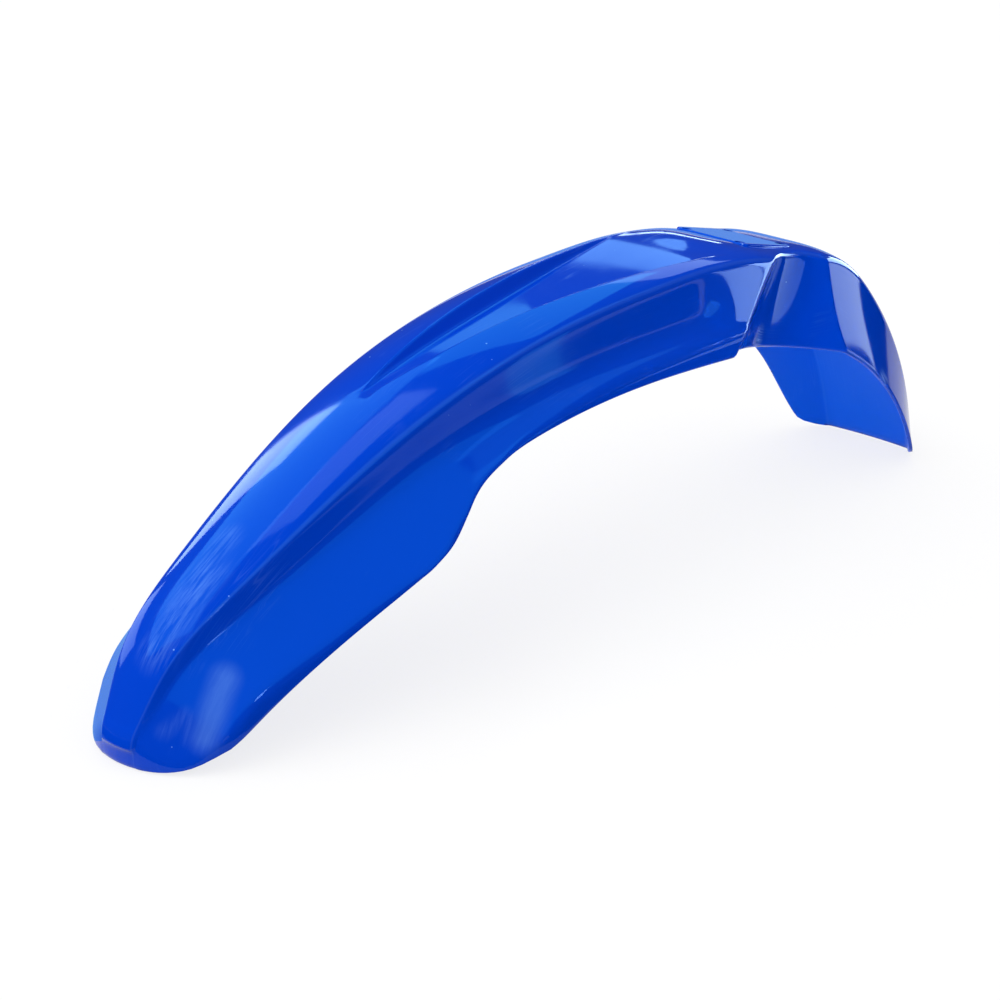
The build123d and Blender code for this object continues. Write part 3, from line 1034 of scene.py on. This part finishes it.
def bevel_edges(piece, chosen, width, segments):
    bpy.ops.object.mode_set(mode="EDIT")
    bpy.ops.mesh.select_mode(type="EDGE")
    bpy.ops.mesh.select_all(action="DESELECT")
    block = bmesh.from_edit_mesh(piece.data)
    for edge in block.edges:
        if chosen(edge):
            edge.select_set(True)
    bmesh.update_edit_mesh(piece.data)
    bpy.ops.mesh.bevel(offset=width * MM, segments=segments, affect="EDGES")
    bpy.ops.object.mode_set(mode="OBJECT")


def is_upright(edge):
    return abs(edge.verts[0].co.z - edge.verts[1].co.z) > 0.001


def is_top_rim(edge):
    return min(v.co.z for v in edge.verts) > -1e-6 and edge.calc_face_angle() > 1


def make_pad():
    """Flat plate under the fork clamp."""
    select_nothing()
    bpy.ops.mesh.primitive_cube_add(size=1, location=(0, 0, -PAD_PLATE / 2 * MM))
    piece = bpy.context.object
    piece.name = "clamp_pad"
    piece.scale = (PAD_LENGTH * MM, PAD_WIDTH * MM, PAD_PLATE * MM)
    bpy.ops.object.transform_apply(location=True, rotation=True, scale=True)
    bevel_edges(piece, is_upright, PAD_CORNER, 6)
    bevel_edges(piece, is_top_rim, PAD_EDGE, 4)
    lay_on_clamp(piece)
    piece.data.materials.append(gloss_blue)
    return piece


def make_drill():
    """Four rods where the bolt holes go."""
    select_nothing()
    rods = []
    for along in (-1, 1):
        for across in (-1, 1):
            bpy.ops.mesh.primitive_cylinder_add(
                vertices=40, radius=HOLE_RADIUS * MM, depth=DRILL_LENGTH * MM,
                location=(along * HOLE_SPACING / 2 * MM, across * HOLE_SPACING / 2 * MM, 0))
            rods.append(bpy.context.object)
    for rod in rods:
        rod.select_set(True)
    bpy.ops.object.join()
    lay_on_clamp(bpy.context.object)
    return bpy.context.object


shell = make_shell()
pad = make_pad()
drill = make_drill()
for piece in (shell, pad):
    apply_modifier(piece, "bolt holes", "BOOLEAN", operation="DIFFERENCE", object=drill, solver="EXACT")
    select_nothing()
    piece.select_set(True)
    bpy.context.view_layer.objects.active = piece
    bpy.ops.object.shade_smooth_by_angle(angle=SMOOTH_ANGLE)
    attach(piece, "root")
    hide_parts("mudguard_shell")
bpy.data.objects.remove(drill)

# Floor, light and camera, in metres
FLOOR_LEVEL = -FLOOR_DROP * MM
FLOOR_SIZE = 30.0
FLOOR_GAP = 0.0003
FLOOR_GLOW = 0.8
FLOOR_GREY = (0.6, 0.6, 0.6, 1)
WHITE = (1, 1, 1, 1)
BLACK = (0, 0, 0, 1)
WORLD_STRENGTH = 0.06
SOFTBOX_DISTANCE = 2.2
SOFTBOX_AIM = (0.25, 0, -0.05)
PALE_SKY = (0.6, 0.82, 1.0)
FILL_SIZE = 0.12
FILL_POWER = 0.1
FILL_SPREAD = math.radians(40)
FILL_PLACE = (0.46, 0.26, -0.16)
FILL_AIM = (-0.12, 0.0, -0.12)
CAMERA_PLACE = (1.445984, 1.138208, 0.553415)
CAMERA_AIM = (0.225405, 0, -0.120877)
CAMERA_LENS = 104.308
CAMERA_SENSOR = 36
# Cards as name, low corner, high corner, height over the floor, brightness and colour
CARDS = (
    ("side_flag", (-3.0, 0.1), (1.6, 3.0), 0.001, 0.0, WHITE),
    ("front_flag", (0.56, -0.9), (1.6, 0.1), 0.001, 0.0, WHITE),
    ("tail_card", (-0.98, 0.31), (-0.62, 0.62), 0.003, 4.5, (0.75, 0.88, 1, 1)),
    ("pocket_card", (-0.5, 0.2), (-0.29, 0.56), 0.003, 2.2, (0.6, 0.85, 1, 1)),
    ("rear_card", (-4.0, -3.5), (-0.8, -0.5), 0.001, 1.0, (0.2, 0.45, 0.95, 1)),
    ("far_card", (0.2, -0.5), (0.56, -0.03), 0.001, 1.0, (0.25, 0.55, 1, 1)),
)
# Softboxes as name, azimuth, elevation, width and height, brightness and colour
SOFTBOXES = (
    ("far_sky", 290, 50, (2.6, 1.5), 3.0, (0.12, 0.62, 1.0)),
    ("left_sky", 140, 50, (1.2, 0.7), 1.5, (0.1, 0.6, 1.0)),
    ("overhead_softbox", 280, 75, (1.1, 0.5), 2.6, PALE_SKY),
    ("rear_softbox", 203, 34, (0.42, 0.5), 2.4, PALE_SKY),
    ("low_rear_softbox", 221, 21.5, (0.4, 0.2), 2.6, (0.25, 0.6, 1.0)),
    ("skirt_sky", 68, 44, (3.6, 1.8), 1.8, (0.05, 0.6, 1.0)),
    ("valley_card", 74, 22, (0.22, 0.22), 16.0, PALE_SKY),
    ("window", 261, 25, (0.4, 0.95), 6.0, PALE_SKY),
    ("side_card", 284, 11, (1.1, 0.5), 3.0, PALE_SKY),
    ("flank_card", 144, 6, (0.35, 0.24), 6.0, PALE_SKY),
    ("edge_card", 169, 4, (1.6, 0.7), 12.0, PALE_SKY),
    ("flank_stripe", 126, 0.5, (0.2, 0.5), 2.4, (0.12, 0.62, 1.0)),
    ("rear_sky", 216, 50, (0.9, 0.9), 2.2, (0.1, 0.75, 1.0)),
    ("trough_sky", 230, 30, (0.36, 0.2), 1.8, (0.15, 0.7, 1.0)),
    ("ridge_card", 219, 8, (0.6, 0.12), 5.0, PALE_SKY),
)

scene = bpy.context.scene
scene.view_settings.view_transform = "Standard"


def pale_floor():
    """White floor that keeps a faint shadow."""
    material, nodes, shader = new_material("pale_floor")
    shader.inputs["Roughness"].default_value = 1.0
    shader.inputs["Specular IOR Level"].default_value = 0.0
    path = nodes.add("ShaderNodeLightPath").outputs
    tones = {0: path["Is Camera Ray"], 6: FLOOR_GREY, 7: WHITE}
    paint = nodes.add("ShaderNodeMix", tones, data_type="RGBA")
    mirrored = nodes.maths("MAXIMUM", path["Is Glossy Ray"], path["Is Transmission Ray"])
    seen = nodes.maths("MAXIMUM", path["Is Camera Ray"], mirrored)
    glow = nodes.add("ShaderNodeEmission")
    mix = nodes.add("ShaderNodeMixShader", {
        0: nodes.maths("MULTIPLY", seen, FLOOR_GLOW), 1: shader.outputs[0], 2: glow.outputs[0]})
    links = material.node_tree.links
    links.new(paint.outputs[2], shader.inputs["Base Color"])
    links.new(mix.outputs[0], material.node_tree.nodes["Material Output"].inputs["Surface"])
    return material


select_nothing()
bpy.ops.mesh.primitive_plane_add(size=FLOOR_SIZE, location=(0, 0, FLOOR_LEVEL - FLOOR_GAP))
floor = bpy.context.object
floor.name = "floor"
floor.data.materials.append(pale_floor())

world = bpy.data.worlds.new("studio")
scene.world = world
world.use_nodes = True
world.node_tree.nodes["Background"].inputs["Color"].default_value = WHITE
world.node_tree.nodes["Background"].inputs["Strength"].default_value = WORLD_STRENGTH


def placed(name, data, place, aim):
    """Lamp or camera at a place, looking at another."""
    made = bpy.data.objects.new(name, data)
    scene.collection.objects.link(made)
    made.location = place
    made.rotation_euler = (Vector(aim) - Vector(place)).to_track_quat("-Z", "Y").to_euler()
    return made


def softbox(name, azimuth, elevation, size, brightness, colour):
    """Flat soft light seen as a reflection, in a direction from the middle of the mudguard."""
    light = bpy.data.lights.new(name, "AREA")
    light.shape = "RECTANGLE"
    light.size, light.size_y = size
    light.energy = brightness * math.pi * size[0] * size[1]
    light.color = colour
    aim = Vector(SOFTBOX_AIM)
    a = math.radians(azimuth)
    e = math.radians(elevation)
    toward = Vector((math.cos(e) * math.cos(a), math.cos(e) * math.sin(a), math.sin(e)))
    placed(name, light, aim + SOFTBOX_DISTANCE * toward, aim).visible_diffuse = False


def soft_sky(name, toward, energy, spread):
    """Broad light that doesn't show as a reflection."""
    light = bpy.data.lights.new(name, "SUN")
    light.energy = energy
    light.angle = math.radians(spread)
    placed(name, light, toward, (0, 0, 0)).visible_glossy = False


def inside_fill():
    """Small light for the inside of the tail."""
    light = bpy.data.lights.new("inside_fill", "AREA")
    light.size = FILL_SIZE
    light.energy = FILL_POWER
    light.spread = FILL_SPREAD
    placed("inside_fill", light, FILL_PLACE, FILL_AIM).visible_glossy = False


def studio_card(name, low, high, height, brightness, colour):
    """Card on the studio floor that shows only as a reflection."""
    material, nodes, shader = new_material(name)
    shader.inputs["Base Color"].default_value = BLACK
    shader.inputs["Specular IOR Level"].default_value = 0.0
    shader.inputs["Emission Color"].default_value = colour
    shader.inputs["Emission Strength"].default_value = brightness
    middle = ((low[0] + high[0]) / 2, (low[1] + high[1]) / 2, FLOOR_LEVEL + height)
    select_nothing()
    bpy.ops.mesh.primitive_plane_add(size=1, location=middle)
    card = bpy.context.object
    card.name = name
    card.scale = (high[0] - low[0], high[1] - low[1], 1)
    bpy.ops.object.transform_apply(location=True, rotation=True, scale=True)
    card.data.materials.append(material)
    card.visible_camera = False
    card.visible_diffuse = False
    card.visible_shadow = False
    card.visible_transmission = False


for card in CARDS:
    studio_card(*card)
soft_sky("sky", (0.0, 0.0, 3.0), 2.5, 130)
soft_sky("front_sky", (2.2, -0.6, 1.4), 1.5, 80)
inside_fill()
for box in SOFTBOXES:
    softbox(*box)

camera = bpy.data.cameras.new("camera")
camera.lens = CAMERA_LENS
camera.sensor_width = CAMERA_SENSOR
scene.camera = placed("camera", camera, CAMERA_PLACE, CAMERA_AIM)
